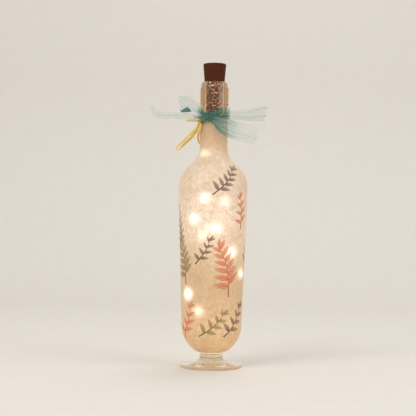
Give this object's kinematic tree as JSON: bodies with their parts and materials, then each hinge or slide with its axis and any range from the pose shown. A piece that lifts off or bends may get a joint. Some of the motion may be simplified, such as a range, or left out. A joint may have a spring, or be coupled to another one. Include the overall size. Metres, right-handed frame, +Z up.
{
  "type": "bottle lamp",
  "caption": "Wine bottle on a low glass foot, covered in lit rice paper, with a string of warm lights inside, a battery stopper and a sheer ribbon bow with raffia round its neck.",
  "frame": {"origin": "middle of the foot's flat underside, on the surface that the lamp stands on", "axes": "+Z up along the bottle's axis, front towards -Y, +X to the right seen from the front"},
  "size_m": [0.1222, 0.0724, 0.3186],
  "materials": {
    "clear_glass": "clear polished glass",
    "rice_paper": "pasted fibrous rice paper with a printed sprig design",
    "cork": "dark stained agglomerated cork",
    "copper_foil": "crinkled copper-brown foil",
    "organza": "sheer teal organza",
    "raffia": "dyed yellow raffia",
    "black_plastic": "moulded satin",
    "brown_plastic": "moulded satin, coloured like the cork",
    "cell_steel": "satin nickel-plated steel",
    "nickel": "bright nickel plate",
    "circuit_board": "solder mask",
    "chip_body": "matt ceramic",
    "enamelled_wire": "enamelled copper",
    "lamp_resin": "clear resin drop, lit warm white",
    "gland_rubber": "moulded"
  },
  "bodies": {
    "bottle": {"pedestal_foot": "clear_glass", "glass_bottle": "clear_glass", "paper_skin": "rice_paper", "string_wire": "enamelled_wire", "string_lead": "enamelled_wire", "light_01": "lamp_resin", "light_02": "lamp_resin", "light_03": "lamp_resin", "light_04": "lamp_resin", "light_05": "lamp_resin", "light_06": "lamp_resin", "light_07": "lamp_resin", "light_08": "lamp_resin", "light_09": "lamp_resin", "light_10": "lamp_resin", "light_11": "lamp_resin", "light_12": "lamp_resin", "light_13": "lamp_resin", "light_14": "lamp_resin", "light_15": "lamp_resin", "light_16": "lamp_resin", "light_17": "lamp_resin", "light_18": "lamp_resin", "light_19": "lamp_resin", "light_20": "lamp_resin", "ribbon_band": "organza", "ribbon_knot": "organza", "ribbon_loop_right": "organza", "ribbon_loop_left": "organza", "ribbon_tail_right": "organza", "ribbon_tail_left": "organza", "raffia_band": "raffia", "raffia_knot": "raffia", "raffia_loop": "raffia", "raffia_end_left": "raffia", "raffia_end_down": "raffia"},
    "stopper": {"stopper_head": "cork", "battery_barrel": "black_plastic", "barrel_foil": "copper_foil", "wire_gland": "gland_rubber", "contact_spring": "nickel", "button_cell_1": "cell_steel", "button_cell_2": "cell_steel", "button_cell_3": "cell_steel", "contact_strip": "nickel"},
    "battery_cap": {"battery_cap": "brown_plastic", "contact_plate": "nickel", "circuit_board": "circuit_board", "switch_body": "black_plastic", "chip_resistor": "chip_body"},
    "switch_button": {"switch_button": "black_plastic"}
  },
  "joints": [
    {"name": "stopper_lift", "type": "slide", "parent": "bottle", "child": "stopper", "axis": [0, 0, 1], "range_m": [0, 0.045], "deforming": ["string_lead"]},
    {"name": "cap_lift", "type": "slide", "parent": "stopper", "child": "battery_cap", "axis": [0, 0, 1], "range_m": [0, 0.0295]},
    {"name": "button_press", "type": "slide", "parent": "battery_cap", "child": "switch_button", "axis": [0, 0, -1], "range_m": [0, 0.0012], "stiffness_N_per_m": 400}
  ]
}
